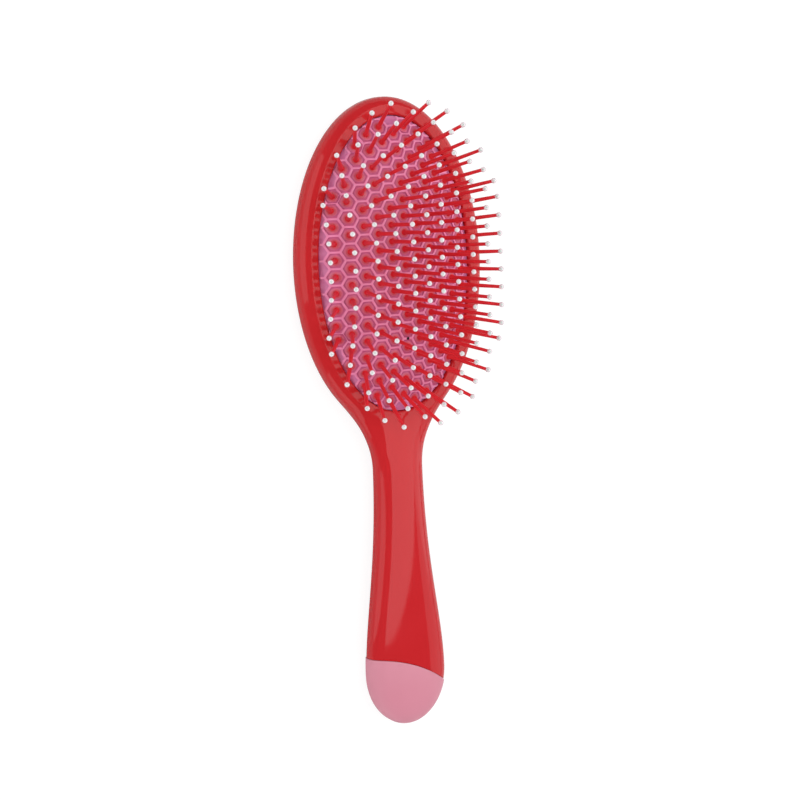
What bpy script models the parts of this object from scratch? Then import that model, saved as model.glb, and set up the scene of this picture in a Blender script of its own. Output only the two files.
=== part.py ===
"""Oval hair brush with a domed rubber cushion, fanned ball-tipped pins and a two-part hollow handle.

Metres, +Z up. The brush lies on the flat of its back, with its pins up, its head toward +Y and
its handle toward -Y. The origin is on the resting plane, under the middle of the whole length.
"""
from math import asin, cos, pi, radians, sin, sqrt

import bmesh
import bpy
from mathutils import Vector
from mathutils.geometry import delaunay_2d_cdt, interpolate_bezier

# Outline, seen from the front: an oval head, a shoulder that leaves it short of its lower end
# and runs down to the neck, a handle that flares from the neck to the grip, and a round end
HEAD_HALF_WIDTH = 0.0384
HEAD_HALF_LENGTH = 0.0617
SHOULDER_ABOVE_OVAL_END = 0.0117
SHOULDER_HEAD_PULL = 0.010
SHOULDER_NECK_PULL = 0.011
NECK_BELOW_OVAL_END = 0.0153
NECK_HALF_WIDTH = 0.00975
NECK_HANDLE_PULL = 0.038
HANDLE_LENGTH = 0.079
GRIP_HALF_WIDTH = 0.0162
GRIP_PULL = 0.020
END_LENGTH = 0.0205

# Heights above and below the plane where the two shells meet
RIM_HEIGHT = 0.0056
NECK_TOP = 0.0072
GRIP_TOP = 0.0080
BACK_DEPTH = 0.0080
NECK_UNDER = 0.0062
SIDE_LAND = 0.0008
BACK_CORNER = 0.0090

# Crease on the rim. The side below it has turned over by the side turn where they meet. It
# leaves its oval on each side of the handle and runs down on to the handle's own curve.
CREASE_IN_AT_SIDE = 0.0041
CREASE_IN_AT_TIP = 0.0031
SIDE_TURN = radians(45)
CREASE_LEAVES_OVAL = radians(-71)
CREASE_OVAL_PULL = 0.0035
CREASE_NECK_PULL = 0.014

# Slope that runs down from the crease to the cushion's opening, and the lip that it ends in
RIM_WIDTH_AT_SIDE = 0.0072
RIM_WIDTH_AT_TIP = 0.0069
LIP_HEIGHT = 0.0041
LIP_THICKNESS = 0.0015

# Walls and running gaps
WALL = 0.0024
GAP = 0.0003
OVERRUN = 0.0010

# Cushion: a rubber membrane with a crown, a short skirt and a clamped flange
CROWN_RISE = 0.0093
CROWN_BELOW_LIP = 0.0004
CROWN_POWER_ACROSS = 2.9
CROWN_POWER_ALONG = 3.7
MEMBRANE = 0.0012
FLANGE_WIDTH = 0.0039
VENT_HALF = 0.0004

# Pins: a triangular lattice in columns along the brush, each pin square to the crown.
# Lattice places as far out as the kept share of the opening hold a pin, and those beyond
# the border share are drawn in to it. The vent takes the place of no pin.
PITCHES_IN_HALF_WIDTH = 5.2
COLUMN_COUNT = 11
VENT_STEP = 9
KEPT_SHARE = 0.975
BORDER_SHARE = 0.935
PIN_REACH = 0.0175
PIN_ROOT_HALF = 0.00075
PIN_TOP_HALF = 0.00045
BALL_RADIUS = 0.00095
BALL_HALF = 0.00080
HOLE_CLEARANCE = 0.00035
WEB_DEPTH = 0.0010

# Rib that clamps the flange, and the pegs in the handle that locate the two shells
RIB_WALL = 0.0018
PEG_SHARES = [0.09, 0.42, 0.75]
PEG_RADIUS = 0.0015
PEG_HEIGHT = 0.0026
BOSS_WALL = 0.0014

# Soft cap over the end of the handle. Its edge is cut straight through the handle, on a curve
# that starts level at the -X side and bends away toward the end at the +X side.
CAP_WALL = 0.0013
CAP_PROUD = 0.0003
CAP_EDGE_ABOVE_GRIP = 0.0070
CAP_EDGE_DROP = 0.0138

# Counts of stations along the outline and of steps round a section
HEAD_STEPS = 18
CREASE_STEPS = 3
TONGUE_STEPS = 5
HANDLE_STEPS = 8
END_STEPS = 6
SIDE_STEPS = 3
TOP_STEPS = 2
BACK_STEPS = 4
CAP_EDGE_STEPS = 8
RIM_POINTS = 48
ROUND_STEPS = 16

# Places that follow from the sizes above, with distances from the middle of the head. The grip
# is as deep under the parting plane as lets the cap round it touch the resting plane.
GRIP_UNDER = BACK_DEPTH - CAP_PROUD
SHOULDER_START = HEAD_HALF_LENGTH - SHOULDER_ABOVE_OVAL_END
NECK_DISTANCE = HEAD_HALF_LENGTH + NECK_BELOW_OVAL_END
GRIP_DISTANCE = NECK_DISTANCE + HANDLE_LENGTH
CAP_EDGE_START = GRIP_DISTANCE - CAP_EDGE_ABOVE_GRIP
TOTAL_LENGTH = HEAD_HALF_LENGTH + GRIP_DISTANCE + END_LENGTH + CAP_PROUD
HEAD_CENTRE_Y = TOTAL_LENGTH / 2 - HEAD_HALF_LENGTH
PARTING_Z = BACK_DEPTH
CREASE_HALF_WIDTH = HEAD_HALF_WIDTH - CREASE_IN_AT_SIDE
CREASE_HALF_LENGTH = HEAD_HALF_LENGTH - CREASE_IN_AT_TIP
PAD_HALF_WIDTH = HEAD_HALF_WIDTH - RIM_WIDTH_AT_SIDE
PAD_HALF_LENGTH = HEAD_HALF_LENGTH - RIM_WIDTH_AT_TIP
CUSHION_HALF_WIDTH = PAD_HALF_WIDTH - GAP
CUSHION_HALF_LENGTH = PAD_HALF_LENGTH - GAP
CROWN_TOP = LIP_HEIGHT - CROWN_BELOW_LIP + CROWN_RISE
PIN_PITCH = PAD_HALF_WIDTH / PITCHES_IN_HALF_WIDTH
FLANGE_HALF_WIDTH = CUSHION_HALF_WIDTH + FLANGE_WIDTH
FLANGE_HALF_LENGTH = CUSHION_HALF_LENGTH + FLANGE_WIDTH
SEAT_HEIGHT = LIP_HEIGHT - LIP_THICKNESS
FLANGE_TOP = SEAT_HEIGHT - GAP
RIB_TOP = FLANGE_TOP - MEMBRANE - GAP
RIB_ROOT = BACK_DEPTH - WALL + GAP
PEG_ROOT = NECK_UNDER - WALL / 4
BOSS_TOP = NECK_TOP - WALL / 2
CAP_CORE_START = CAP_EDGE_START - GRIP_HALF_WIDTH
MERGE = WALL / 1000
SMOOTH_ANGLE = radians(35)

RED = (0.58, 0.018, 0.030, 1.0)
CUSHION_PINK = (0.66, 0.13, 0.32, 1.0)
CAP_PINK = (0.68, 0.26, 0.36, 1.0)


def clear_scene():
    for obj in list(bpy.data.objects):
        bpy.data.objects.remove(obj, do_unlink=True)


def make_material(name, colour, roughness):
    material = bpy.data.materials.new(name)
    material.use_nodes = True
    shader = material.node_tree.nodes["Principled BSDF"]
    shader.inputs["Base Color"].default_value = colour
    shader.inputs["Roughness"].default_value = roughness
    shader.inputs["Metallic"].default_value = 0.0
    return material


def make_collection(name):
    collection = bpy.data.collections.new(name)
    bpy.context.scene.collection.children.link(collection)
    return collection


def add_object(name, mesh, collection, material=None):
    obj = bpy.data.objects.new(name, mesh)
    collection.objects.link(obj)
    obj.location = (0.0, HEAD_CENTRE_Y, PARTING_Z)
    if material:
        mesh.materials.append(material)
    return obj


def add_cutter(name, mesh, collection):
    cutter = add_object(name, mesh, collection)
    cutter.hide_render = True
    cutter.display_type = "WIRE"
    return cutter


def mesh_from(bm, name):
    mesh = bpy.data.meshes.new(name)
    bm.to_mesh(mesh)
    bm.free()
    mesh.shade_smooth()
    mesh.set_sharp_from_angle(angle=SMOOTH_ANGLE)
    return mesh


def add_boolean(obj, cutter, operation):
    modifier = obj.modifiers.new(cutter.name, "BOOLEAN")
    modifier.operation = operation
    modifier.solver = "EXACT"
    modifier.object = cutter


def bezier(start, start_handle, end_handle, end, steps):
    """Points after the start, up to and with the end."""
    points = interpolate_bezier(
        Vector((*start, 0.0)), Vector((*start_handle, 0.0)),
        Vector((*end_handle, 0.0)), Vector((*end, 0.0)), steps + 1)
    return [(point.x, point.y) for point in points[1:]]


class Station:
    """One place on the half outline, with the points that its spokes run to: over the front by
    the crease to the foot, and over the back to the back's crest."""

    def __init__(self, edge, crease, crease_height, foot, foot_height, back_crest, under,
                 roundness, on_oval=False):
        self.edge = Vector(edge)
        self.crease = Vector(crease)
        self.crease_height = crease_height
        self.foot = Vector(foot)
        self.foot_height = foot_height
        self.back_crest = Vector(back_crest)
        self.under = under
        self.roundness = roundness
        self.on_oval = on_oval


def round_station(edge, middle, top, under):
    """A station of the handle, whose front is a quarter ellipse from the edge to the middle."""
    crease = Vector(edge).lerp(Vector(middle), 1 - cos(SIDE_TURN))
    crease_height = SIDE_LAND + (top - SIDE_LAND) * sin(SIDE_TURN)
    return Station(edge, crease, crease_height, middle, top, middle, under, 1.0)


def crease_on_oval(angle):
    return (CREASE_HALF_WIDTH * cos(angle), CREASE_HALF_LENGTH * sin(angle))


def back_crest_on_oval(angle):
    return ((HEAD_HALF_WIDTH - BACK_CORNER) * cos(angle),
            (HEAD_HALF_LENGTH - BACK_CORNER) * sin(angle))


def lip_on_oval(angle):
    return (PAD_HALF_WIDTH * cos(angle), PAD_HALF_LENGTH * sin(angle))


def head_stations():
    """From the tip of the head round to where the shoulder leaves the oval."""
    last = -asin(SHOULDER_START / HEAD_HALF_LENGTH)
    stations = []
    for step in range(HEAD_STEPS + 1):
        angle = pi / 2 + (last - pi / 2) * step / HEAD_STEPS
        edge = (HEAD_HALF_WIDTH * cos(angle), HEAD_HALF_LENGTH * sin(angle))
        stations.append(Station(edge, crease_on_oval(angle), RIM_HEIGHT, lip_on_oval(angle),
                                LIP_HEIGHT, back_crest_on_oval(angle), BACK_DEPTH, 0.0, True))
    return stations, last


def shoulder_edges(last):
    """The outline from where it leaves the head's oval to the neck."""
    start = (HEAD_HALF_WIDTH * cos(last), HEAD_HALF_LENGTH * sin(last))
    slope = Vector((-HEAD_HALF_WIDTH * sin(last), HEAD_HALF_LENGTH * cos(last))).normalized()
    start_handle = (start[0] - slope.x * SHOULDER_HEAD_PULL, start[1] - slope.y * SHOULDER_HEAD_PULL)
    end = (NECK_HALF_WIDTH, -NECK_DISTANCE)
    end_handle = (NECK_HALF_WIDTH, -NECK_DISTANCE + SHOULDER_NECK_PULL)
    return bezier(start, start_handle, end_handle, end, CREASE_STEPS + TONGUE_STEPS)


def crease_to_neck(start):
    """The crease from where it leaves its oval to the neck, where it lies on the round handle."""
    slope = Vector((-CREASE_HALF_WIDTH * sin(CREASE_LEAVES_OVAL),
                    CREASE_HALF_LENGTH * cos(CREASE_LEAVES_OVAL))).normalized()
    start_handle = (start[0] - slope.x * CREASE_OVAL_PULL, start[1] - slope.y * CREASE_OVAL_PULL)
    end = (NECK_HALF_WIDTH * cos(SIDE_TURN), -NECK_DISTANCE)
    end_handle = (end[0], end[1] + CREASE_NECK_PULL)
    return bezier(start, start_handle, end_handle, end, TONGUE_STEPS)


def shoulder_stations(last):
    """While the crease is on its oval the spokes end on the lip, which closes at the middle.
    From there they end on the middle line of the tongue, which rises from the lip to the neck."""
    edges = shoulder_edges(last)
    creases = []
    for step in range(1, CREASE_STEPS + 1):
        creases.append(crease_on_oval(last + (CREASE_LEAVES_OVAL - last) * step / CREASE_STEPS))
    creases += crease_to_neck(creases[-1])
    neck_crease_height = SIDE_LAND + (NECK_TOP - SIDE_LAND) * sin(SIDE_TURN)
    stations = []
    for step, (edge, crease) in enumerate(zip(edges, creases), start=1):
        turn = min(1.0, step / (CREASE_STEPS + 1))
        down = max(0.0, (step - CREASE_STEPS - 1) / (TONGUE_STEPS - 1))
        eased = down * down * (3 - 2 * down)
        angle = last + (-pi / 2 - last) * turn
        foot = Vector(lip_on_oval(angle)).lerp(Vector((0.0, -NECK_DISTANCE)), down)
        back_crest = Vector(back_crest_on_oval(angle)).lerp(Vector((0.0, -NECK_DISTANCE)), down)
        stations.append(Station(
            edge, crease, RIM_HEIGHT + (neck_crease_height - RIM_HEIGHT) * eased,
            foot, LIP_HEIGHT + (NECK_TOP - LIP_HEIGHT) * sin(down * pi / 2),
            back_crest, BACK_DEPTH + (NECK_UNDER - BACK_DEPTH) * eased, eased, down == 0))
    return stations


def handle_stations(inset=0.0, start=NECK_DISTANCE):
    """From the neck, or a place below it, to the widest part of the grip."""
    edges = [(NECK_HALF_WIDTH, -NECK_DISTANCE)]
    edges += bezier(edges[0], (NECK_HALF_WIDTH, -NECK_DISTANCE - NECK_HANDLE_PULL),
                    (GRIP_HALF_WIDTH, -GRIP_DISTANCE + GRIP_PULL),
                    (GRIP_HALF_WIDTH, -GRIP_DISTANCE), HANDLE_STEPS)
    stations = []
    for x, y in edges:
        if -y < start:
            continue
        share = (-y - NECK_DISTANCE) / HANDLE_LENGTH
        stations.append(round_station((x - inset, y), (0.0, y),
                                      NECK_TOP + (GRIP_TOP - NECK_TOP) * share - inset,
                                      NECK_UNDER + (GRIP_UNDER - NECK_UNDER) * share - inset))
    return stations


def end_stations(inset=0.0):
    """The rounded end, whose spokes all run to the middle of the grip's widest section."""
    middle = (0.0, -GRIP_DISTANCE)
    stations = []
    for step in range(1, END_STEPS + 1):
        angle = pi / 2 * step / END_STEPS
        edge = ((GRIP_HALF_WIDTH - inset) * cos(angle),
                -GRIP_DISTANCE - (END_LENGTH - inset) * sin(angle))
        stations.append(round_station(edge, middle, GRIP_TOP - inset, GRIP_UNDER - inset))
    return stations


def front_spoke(station):
    """Points over the front: the side's curve up to the crease, then on to the foot, straight
    on the head and along the rest of the quarter ellipse on the handle."""
    points = []
    for step in range(SIDE_STEPS + 1):
        turn = SIDE_TURN * step / SIDE_STEPS
        place = station.edge.lerp(station.crease, (1 - cos(turn)) / (1 - cos(SIDE_TURN)))
        rise = (station.crease_height - SIDE_LAND) * sin(turn) / sin(SIDE_TURN)
        points.append(Vector((place.x, place.y, SIDE_LAND + rise)))
    crease = points[-1]
    foot = Vector((*station.foot, station.foot_height))
    for step in range(1, TOP_STEPS + 1):
        share = step / TOP_STEPS
        turn = SIDE_TURN + (pi / 2 - SIDE_TURN) * share
        place = station.crease.lerp(station.foot, 1 - cos(turn) / cos(SIDE_TURN))
        rise = (foot.z - crease.z) * (sin(turn) - sin(SIDE_TURN)) / (1 - sin(SIDE_TURN))
        on_curve = Vector((place.x, place.y, crease.z + rise))
        points.append(crease.lerp(foot, share).lerp(on_curve, station.roundness))
    return points


def back_spoke(station):
    """Points over the back: a quarter ellipse from the side's land to the back's crest."""
    points = []
    for step in range(BACK_STEPS + 1):
        turn = pi / 2 * step / BACK_STEPS
        place = station.edge.lerp(station.back_crest, 1 - cos(turn))
        depth = SIDE_LAND + (station.under - SIDE_LAND) * sin(turn)
        points.append(Vector((place.x, place.y, -depth)))
    return points


def outline_stations():
    head, last = head_stations()
    return head + shoulder_stations(last) + handle_stations()[1:] + end_stations()


def shell_skin(name, side):
    """The open +X half of one shell's outer face, which the Mirror modifier completes."""
    bm = bmesh.new()
    rows = []
    stations = outline_stations()
    for station in stations:
        points = front_spoke(station) if side > 0 else back_spoke(station)
        points.insert(0, Vector((station.edge.x, station.edge.y, side * GAP / 2)))
        rows.append([bm.verts.new(point) for point in points])
    for row, following in zip(rows, rows[1:]):
        for step in range(len(row) - 1):
            face = [row[step], row[step + 1], following[step + 1], following[step]]
            bm.faces.new(face if side > 0 else face[::-1])
    if side < 0:
        # The flat of the back, inside the crest's oval
        bm.faces.new([row[-1] for row, station in zip(rows, stations) if station.on_oval])
    bmesh.ops.remove_doubles(bm, verts=bm.verts, dist=MERGE)
    return mesh_from(bm, name)


def add_mirror(obj):
    mirror = obj.modifiers.new("mirror", "MIRROR")
    mirror.use_axis = (True, False, False)
    mirror.merge_threshold = MERGE


def add_wall(obj, thickness):
    wall = obj.modifiers.new("wall", "SOLIDIFY")
    wall.thickness = thickness
    wall.offset = -1.0
    wall.use_even_offset = True


def oval_prism(name, half_width, half_length, low, high, hole=0.0):
    """An upright oval prism, or an oval ring of the given wall, made as a filled flat curve."""
    curve = bpy.data.curves.new(name, "CURVE")
    curve.dimensions = "2D"
    curve.fill_mode = "BOTH"
    curve.extrude = (high - low) / 2
    for inset in ([0.0, hole] if hole else [0.0]):
        spline = curve.splines.new("POLY")
        spline.points.add(RIM_POINTS - 1)
        spline.use_cyclic_u = True
        for index, point in enumerate(spline.points):
            angle = 2 * pi * index / RIM_POINTS
            point.co = ((half_width - inset) * cos(angle), (half_length - inset) * sin(angle), 0, 1)
    guide = bpy.data.objects.new(name, curve)
    bpy.context.scene.collection.objects.link(guide)
    depsgraph = bpy.context.evaluated_depsgraph_get()
    mesh = bpy.data.meshes.new_from_object(guide.evaluated_get(depsgraph))
    bpy.data.objects.remove(guide)
    bm = bmesh.new()
    bm.from_mesh(mesh)
    bmesh.ops.remove_doubles(bm, verts=bm.verts, dist=MERGE)
    bmesh.ops.translate(bm, verts=bm.verts, vec=(0, 0, (high + low) / 2))
    bmesh.ops.recalc_face_normals(bm, faces=bm.faces)
    return mesh_from(bm, name)


def cylinders(name, radius, low, high):
    """Upright round bars at the pegs' places, as one mesh."""
    bm = bmesh.new()
    for share in PEG_SHARES:
        distance = NECK_DISTANCE + HANDLE_LENGTH * share
        bar = bmesh.ops.create_cone(bm, cap_ends=True, segments=ROUND_STEPS,
                                    radius1=radius, radius2=radius, depth=high - low)
        bmesh.ops.translate(bm, verts=bar["verts"], vec=(0, -distance, (high + low) / 2))
    return mesh_from(bm, name)


def core_skin(name, inset):
    """The +X half of the handle's lower part, drawn in from the outer face by the inset."""
    bm = bmesh.new()
    rows = []
    for station in handle_stations(inset, CAP_CORE_START) + end_stations(inset):
        half = front_spoke(station)[::-1] + back_spoke(station)
        rows.append([bm.verts.new(point) for point in half])
    for row, following in zip(rows, rows[1:]):
        for step in range(len(row) - 1):
            bm.faces.new((row[step], following[step], following[step + 1], row[step + 1]))
    bm.faces.new(rows[0])
    bmesh.ops.remove_doubles(bm, verts=bm.verts, dist=MERGE)
    bmesh.ops.recalc_face_normals(bm, faces=bm.faces)
    return mesh_from(bm, name)


def add_core_cutter(name, inset, cutters):
    core = add_cutter(name, core_skin(name, inset), cutters)
    add_mirror(core)
    return core


def cap_edge_point(x, gap):
    """A point on the cap's edge, seen from above and moved off it toward the head by a gap."""
    share = (x + GRIP_HALF_WIDTH) / (2 * GRIP_HALF_WIDTH)
    fall = CAP_EDGE_DROP * share / GRIP_HALF_WIDTH
    on_edge = Vector((x, -CAP_EDGE_START - CAP_EDGE_DROP * share ** 2))
    return on_edge + Vector((fall, 1.0)).normalized() * gap


def end_block(name, gap):
    """An upright block over the end of the handle, with one side along the cap's edge."""
    reach = GRIP_HALF_WIDTH + 2 * OVERRUN
    far = GRIP_DISTANCE + END_LENGTH + 2 * OVERRUN
    outline = [cap_edge_point(reach - 2 * reach * step / CAP_EDGE_STEPS, gap)
               for step in range(CAP_EDGE_STEPS + 1)]
    outline += [Vector((-reach, -far)), Vector((reach, -far))]
    bm = bmesh.new()
    floor = bm.faces.new([bm.verts.new((point.x, point.y, -reach)) for point in outline])
    drawn = bmesh.ops.extrude_face_region(bm, geom=[floor])["geom"]
    top = [item for item in drawn if isinstance(item, bmesh.types.BMVert)]
    bmesh.ops.translate(bm, verts=top, vec=(0, 0, 2 * reach))
    bmesh.ops.recalc_face_normals(bm, faces=bm.faces)
    return mesh_from(bm, name)


def crown_height(x, y):
    """Height of the cushion's face above the parting plane."""
    across = (x / PAD_HALF_WIDTH) ** 2
    along = (y / PAD_HALF_LENGTH) ** 2
    reach = across + along
    if reach == 0:
        return CROWN_TOP
    power = CROWN_POWER_ACROSS + (CROWN_POWER_ALONG - CROWN_POWER_ACROSS) * along / reach
    return CROWN_TOP - CROWN_RISE * reach ** (power / 2)


def crown_frame(x, y):
    """The point on the cushion's face, and its axes: outward, across and along the brush."""
    step = GAP
    slope_x = (crown_height(x + step, y) - crown_height(x - step, y)) / (2 * step)
    slope_y = (crown_height(x, y + step) - crown_height(x, y - step)) / (2 * step)
    point = Vector((x, y, crown_height(x, y)))
    outward = Vector((-slope_x, -slope_y, 1)).normalized()
    along = Vector((0, 1, slope_y)).normalized()
    across = along.cross(outward).normalized()
    return point, outward, across, outward.cross(across)


def column_places(column):
    """Places of one column's pins, from the handle's end of the cushion to its tip."""
    offset = column - COLUMN_COUNT // 2
    last = int(2 * PAD_HALF_LENGTH / PIN_PITCH)
    places = []
    for step in range(-last, last + 1):
        x = offset * PIN_PITCH * sqrt(3) / 2
        y = step * PIN_PITCH / 2
        reach = sqrt((x / PAD_HALF_WIDTH) ** 2 + (y / PAD_HALF_LENGTH) ** 2)
        if (step - offset) % 2 == 0 and reach < KEPT_SHARE:
            draw = BORDER_SHARE / max(reach, BORDER_SHARE)
            places.append((x * draw, y * draw))
    return places


def square_on_crown(x, y, half):
    """Corners of a square that lies on the cushion's face, seen from above."""
    point, _, across, along = crown_frame(x, y)
    corners = []
    for side, end in ((-1, -1), (1, -1), (1, 1), (-1, 1)):
        corner = point + across * side * half + along * end * half
        corners.append((corner.x, corner.y))
    return corners


def crown_face(bm):
    """The crown with its pin holes and vent. Returns the edges round its border."""
    points = []
    for index in range(RIM_POINTS):
        angle = 2 * pi * index / RIM_POINTS
        points.append(Vector((CUSHION_HALF_WIDTH * cos(angle), CUSHION_HALF_LENGTH * sin(angle))))
    loops = [list(range(RIM_POINTS))]
    squares = [square_on_crown(x, y, PIN_ROOT_HALF + HOLE_CLEARANCE)
               for column in range(COLUMN_COUNT) for x, y in column_places(column)]
    squares.append(square_on_crown(0.0, -VENT_STEP * PIN_PITCH / 2, VENT_HALF))
    for square in squares:
        first = len(points)
        points += [Vector(corner) for corner in square]
        loops.append(list(range(first, len(points))))
    flat_points, _, faces, origins, _, sources = delaunay_2d_cdt(points, [], loops, 1, MERGE)
    verts = [bm.verts.new((point.x, point.y, crown_height(point.x, point.y))) for point in flat_points]
    for face, source in zip(faces, sources):
        # The first loop is the border, so a triangle that came from another loop lies in a hole
        if list(source) == [0]:
            bm.faces.new([verts[index] for index in face])
    border = {vert for vert, origin in zip(verts, origins) if origin[0] < RIM_POINTS}
    return [edge for edge in bm.edges if edge.is_boundary and border.issuperset(edge.verts)]


def extrude_edges(bm, edges):
    """Draws a band of new faces out of the edges. Returns its far edges and their points."""
    drawn = bmesh.ops.extrude_edge_only(bm, edges=edges)["geom"]
    return ([item for item in drawn if isinstance(item, bmesh.types.BMEdge)],
            [item for item in drawn if isinstance(item, bmesh.types.BMVert)])


def build_cushion(collection, material):
    """The crown, the skirt that drops inside the lip, and the flange under it, with one wall."""
    bm = bmesh.new()
    border = crown_face(bm)
    border, skirt = extrude_edges(bm, border)
    for vert in skirt:
        vert.co.z = FLANGE_TOP
    border, flange = extrude_edges(bm, border)
    for vert in flange:
        vert.co.x *= FLANGE_HALF_WIDTH / CUSHION_HALF_WIDTH
        vert.co.y *= FLANGE_HALF_LENGTH / CUSHION_HALF_LENGTH
    bmesh.ops.recalc_face_normals(bm, faces=bm.faces)
    if sum(face.normal.z for face in bm.faces) < 0:
        bmesh.ops.reverse_faces(bm, faces=bm.faces)
    cushion = add_object("cushion", mesh_from(bm, "cushion"), collection, material)
    add_wall(cushion, MEMBRANE)


def ring_of(bm, frame, height, half):
    """Four corners of a pin's section at a height above the cushion's face."""
    point, outward, across, along = frame
    centre = point + outward * height
    return [bm.verts.new(centre + across * side * half + along * end * half)
            for side, end in ((-1, -1), (1, -1), (1, 1), (-1, 1))]


def add_pin(bm, frame, root):
    """A square tapered pin on its root, with a ball tip drawn out to a blunt point."""
    lower = root
    for height, half in ((PIN_REACH - BALL_RADIUS, PIN_TOP_HALF), (PIN_REACH, BALL_HALF)):
        upper = ring_of(bm, frame, height, half)
        for corner in range(4):
            following = (corner + 1) % 4
            bm.faces.new((lower[corner], lower[following], upper[following], upper[corner]))
        lower = upper
    point, outward, _, _ = frame
    tip = bm.verts.new(point + outward * (PIN_REACH + BALL_RADIUS))
    for corner in range(4):
        bm.faces.new((lower[corner], lower[(corner + 1) % 4], tip))


def pin_row_mesh(name, places):
    """One column of pins, joined under the cushion by the thin web that they are moulded on."""
    top = -MEMBRANE - GAP
    bm = bmesh.new()
    frames = [crown_frame(x, y) for x, y in places]
    roots = [ring_of(bm, frame, top, PIN_ROOT_HALF) for frame in frames]
    keels = []
    for point, outward, across, _ in frames:
        base = point + outward * (top - WEB_DEPTH)
        keels.append([bm.verts.new(base + across * half) for half in (-PIN_ROOT_HALF, PIN_ROOT_HALF)])
    for frame, root, keel in zip(frames, roots, keels):
        add_pin(bm, frame, root)
        bm.faces.new((root[0], root[3], keel[0]))
        bm.faces.new((root[2], root[1], keel[1]))
    for root, keel, following, next_keel in zip(roots, keels, roots[1:], keels[1:]):
        bm.faces.new((root[3], root[2], following[1], following[0]))
        bm.faces.new((root[3], following[0], next_keel[0], keel[0]))
        bm.faces.new((following[1], root[2], keel[1], next_keel[1]))
        bm.faces.new((keel[0], next_keel[0], next_keel[1], keel[1]))
    bm.faces.new((roots[0][1], roots[0][0], keels[0][0], keels[0][1]))
    bm.faces.new((roots[-1][3], roots[-1][2], keels[-1][1], keels[-1][0]))
    bmesh.ops.triangulate(bm, faces=bm.faces)
    bmesh.ops.recalc_face_normals(bm, faces=bm.faces)
    return mesh_from(bm, name)


def build_pin_rows(collection, material):
    for column in range(COLUMN_COUNT):
        name = f"pin_row_{column + 1:02d}"
        add_object(name, pin_row_mesh(name, column_places(column)), collection, material)


def cap_seat(cutters):
    """The space that the cap takes from the two shells, with its running gap."""
    seat = add_core_cutter("cap_seat", -OVERRUN, cutters)
    spigot = add_core_cutter("cap_spigot", CAP_WALL - CAP_PROUD + GAP, cutters)
    block = add_cutter("cap_seat_block", end_block("cap_seat_block", GAP), cutters)
    add_boolean(seat, spigot, "DIFFERENCE")
    add_boolean(seat, block, "INTERSECT")
    return seat


def build_front_shell(collection, cutters, material, seat):
    shell = add_object("front_shell", shell_skin("front_shell", 1), collection, material)
    add_mirror(shell)
    add_wall(shell, WALL)
    flange_seat = oval_prism("flange_seat", FLANGE_HALF_WIDTH + GAP, FLANGE_HALF_LENGTH + GAP,
                             -OVERRUN, SEAT_HEIGHT)
    bosses = cylinders("boss_bars", PEG_RADIUS + GAP + BOSS_WALL, GAP, BOSS_TOP)
    bores = cylinders("boss_bores", PEG_RADIUS + GAP, -OVERRUN, PEG_HEIGHT + GAP)
    add_boolean(shell, add_cutter("flange_seat", flange_seat, cutters), "DIFFERENCE")
    add_boolean(shell, add_cutter("boss_bars", bosses, cutters), "UNION")
    add_boolean(shell, add_cutter("boss_bores", bores, cutters), "DIFFERENCE")
    add_boolean(shell, seat, "DIFFERENCE")


def build_back_shell(collection, cutters, material, seat):
    shell = add_object("back_shell", shell_skin("back_shell", -1), collection, material)
    add_mirror(shell)
    add_wall(shell, WALL)
    rib = oval_prism("clamp_rib", FLANGE_HALF_WIDTH, FLANGE_HALF_LENGTH, -RIB_ROOT, RIB_TOP, RIB_WALL)
    pegs = cylinders("peg_bars", PEG_RADIUS, -PEG_ROOT, PEG_HEIGHT)
    add_boolean(shell, add_cutter("clamp_rib", rib, cutters), "UNION")
    add_boolean(shell, add_cutter("peg_bars", pegs, cutters), "UNION")
    add_boolean(shell, seat, "DIFFERENCE")


def build_end_cap(collection, cutters, material):
    cap = add_object("end_cap", core_skin("end_cap", -CAP_PROUD), collection, material)
    add_mirror(cap)
    hollow = add_core_cutter("cap_hollow", CAP_WALL - CAP_PROUD, cutters)
    block = add_cutter("cap_block", end_block("cap_block", 0.0), cutters)
    add_boolean(cap, hollow, "DIFFERENCE")
    add_boolean(cap, block, "INTERSECT")


def build():
    clear_scene()
    parts = make_collection("hair_brush")
    cutters = make_collection("cutters")
    red = make_material("glossy_red_plastic", RED, 0.18)
    pin_red = make_material("red_pin_plastic", RED, 0.35)
    rubber = make_material("pink_cushion_rubber", CUSHION_PINK, 0.5)
    cap_pink = make_material("pink_cap_plastic", CAP_PINK, 0.35)
    seat = cap_seat(cutters)
    build_front_shell(parts, cutters, red, seat)
    build_back_shell(parts, cutters, red, seat)
    build_cushion(parts, rubber)
    build_pin_rows(parts, pin_red)
    build_end_cap(parts, cutters, cap_pink)


build()
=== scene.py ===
"""Dressed model of an oval hair brush: glossy red shells, a pink honeycomb cushion, fanned red
pins with white ball tips, and a satin pink cap on the end of the handle.

Metres, +Z up. Pieces are modelled about the middle of the head on the plane where the two
shells meet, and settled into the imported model's frame when they are finished.
"""
from contextlib import contextmanager
from math import asin, cos, exp, pi, radians, sin, sqrt

import bmesh
import bpy
from mathutils import Matrix, Vector
from mathutils.geometry import interpolate_bezier
from mathutils.kdtree import KDTree


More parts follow.
